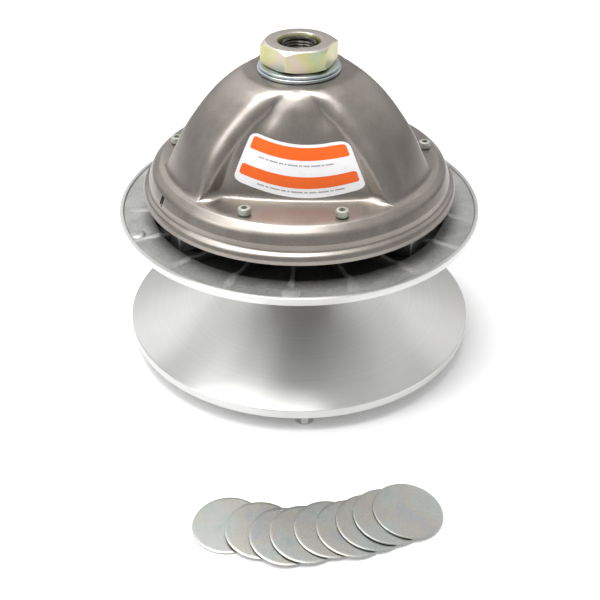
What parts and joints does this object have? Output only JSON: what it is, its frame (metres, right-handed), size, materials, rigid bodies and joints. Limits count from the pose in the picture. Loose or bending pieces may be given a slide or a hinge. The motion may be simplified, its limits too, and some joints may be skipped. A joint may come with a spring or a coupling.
{
  "type": "cvt pulley set",
  "caption": "Centrifugal drive pulley of a belt transmission under a three-lobed pressed cover, standing upright, with a fan of loose round tuning discs.",
  "frame": {"origin": "on the pulley's axis, in the plane of the hub's engine-side face and of the three feet", "axes": "+Z along the pulley's axis, from the engine towards the nut; -Y through the middle of the cover's recess that faces the loose discs"},
  "size_m": [0.216, 0.3122, 0.1888],
  "materials": {
    "turned_aluminium": "fine turned",
    "cast_aluminium": "as cast",
    "machined_steel": "machined",
    "satin_steel": "pressed, satin",
    "zinc_plate": "bright zinc plate",
    "yellow_zinc": "yellow iridescent zinc plate",
    "screw_plate": "grey-green plate",
    "black_steel": "black oxide",
    "spring_steel": "drawn wire",
    "bronze": "sintered bronze",
    "bearing_polymer": "low-friction polymer",
    "disc_steel": "zinc-plated, flat"
  },
  "bodies": {
    "root": {"fixed_sheave": "turned_aluminium", "shaft": "machined_steel", "spring_seat": "machined_steel", "dome_cover": "satin_steel", "flat_washer": "zinc_plate", "spring_washer": "zinc_plate", "top_nut": "yellow_zinc", "cover_screw_1": "screw_plate", "cover_screw_2": "screw_plate", "cover_screw_3": "screw_plate", "cover_screw_4": "screw_plate", "cover_screw_5": "screw_plate", "cover_screw_6": "screw_plate", "guide_bracket_1": "machined_steel", "guide_bracket_2": "machined_steel", "guide_bracket_3": "machined_steel"},
    "movable_sheave": {"movable_sheave": "cast_aluminium", "lower_bush": "bronze", "upper_bush": "bearing_polymer", "tower_cap": "machined_steel", "cap_screw_1": "black_steel", "cap_screw_2": "black_steel", "cap_screw_3": "black_steel", "clutch_spring": "spring_steel"},
    "block_1": {"block_1": "cast_aluminium", "ramp_shoe_1": "bearing_polymer", "base_shoe_1": "bearing_polymer", "disc_retainer_1": "spring_steel"},
    "block_2": {"block_2": "cast_aluminium", "ramp_shoe_2": "bearing_polymer", "base_shoe_2": "bearing_polymer", "disc_retainer_2": "spring_steel"},
    "block_3": {"block_3": "cast_aluminium", "ramp_shoe_3": "bearing_polymer", "base_shoe_3": "bearing_polymer", "disc_retainer_3": "spring_steel"},
    "tuning_disc_1": {"tuning_disc_1": "disc_steel"},
    "tuning_disc_2": {"tuning_disc_2": "disc_steel"},
    "tuning_disc_3": {"tuning_disc_3": "disc_steel"},
    "tuning_disc_4": {"tuning_disc_4": "disc_steel"},
    "tuning_disc_5": {"tuning_disc_5": "disc_steel"},
    "tuning_disc_6": {"tuning_disc_6": "disc_steel"},
    "tuning_disc_7": {"tuning_disc_7": "disc_steel"},
    "tuning_disc_8": {"tuning_disc_8": "disc_steel"},
    "tuning_disc_9": {"tuning_disc_9": "disc_steel"}
  },
  "joints": [
    {"name": "sheave_slide", "type": "slide", "parent": "root", "child": "movable_sheave", "axis": [0, 0, -1], "range_m": [0, 0.027], "stiffness_N_per_m": 9000, "springref_m": -0.03, "deforming": ["clutch_spring"]},
    {"name": "block_1_slide", "type": "slide", "parent": "movable_sheave", "child": "block_1", "axis": [0, 1, 0], "range_m": [0, 0.0165]},
    {"name": "block_2_slide", "type": "slide", "parent": "movable_sheave", "child": "block_2", "axis": [-0.866, -0.5, 0], "range_m": [0, 0.0165]},
    {"name": "block_3_slide", "type": "slide", "parent": "movable_sheave", "child": "block_3", "axis": [0.866, -0.5, 0], "range_m": [0, 0.0165]},
    {"name": "disc_1_slide", "type": "slide", "parent": "root", "child": "tuning_disc_1", "axis": [0, -1, 0], "range_m": [0, 0.06]},
    {"name": "disc_2_slide", "type": "slide", "parent": "root", "child": "tuning_disc_2", "axis": [0, -1, 0], "range_m": [0, 0.06]},
    {"name": "disc_3_slide", "type": "slide", "parent": "root", "child": "tuning_disc_3", "axis": [0, -1, 0], "range_m": [0, 0.06]},
    {"name": "disc_4_slide", "type": "slide", "parent": "root", "child": "tuning_disc_4", "axis": [0, -1, 0], "range_m": [0, 0.06]},
    {"name": "disc_5_slide", "type": "slide", "parent": "root", "child": "tuning_disc_5", "axis": [0, -1, 0], "range_m": [0, 0.06]},
    {"name": "disc_6_slide", "type": "slide", "parent": "root", "child": "tuning_disc_6", "axis": [0, -1, 0], "range_m": [0, 0.06]},
    {"name": "disc_7_slide", "type": "slide", "parent": "root", "child": "tuning_disc_7", "axis": [0, -1, 0], "range_m": [0, 0.06]},
    {"name": "disc_8_slide", "type": "slide", "parent": "root", "child": "tuning_disc_8", "axis": [0, -1, 0], "range_m": [0, 0.06]},
    {"name": "disc_9_slide", "type": "slide", "parent": "root", "child": "tuning_disc_9", "axis": [0, -1, 0], "range_m": [0, 0.06]}
  ],
  "couplings": [
    {"joint": "block_1_slide", "follows": "sheave_slide", "ratio": 0.60606},
    {"joint": "block_2_slide", "follows": "sheave_slide", "ratio": 0.60606},
    {"joint": "block_3_slide", "follows": "sheave_slide", "ratio": 0.60606}
  ]
}
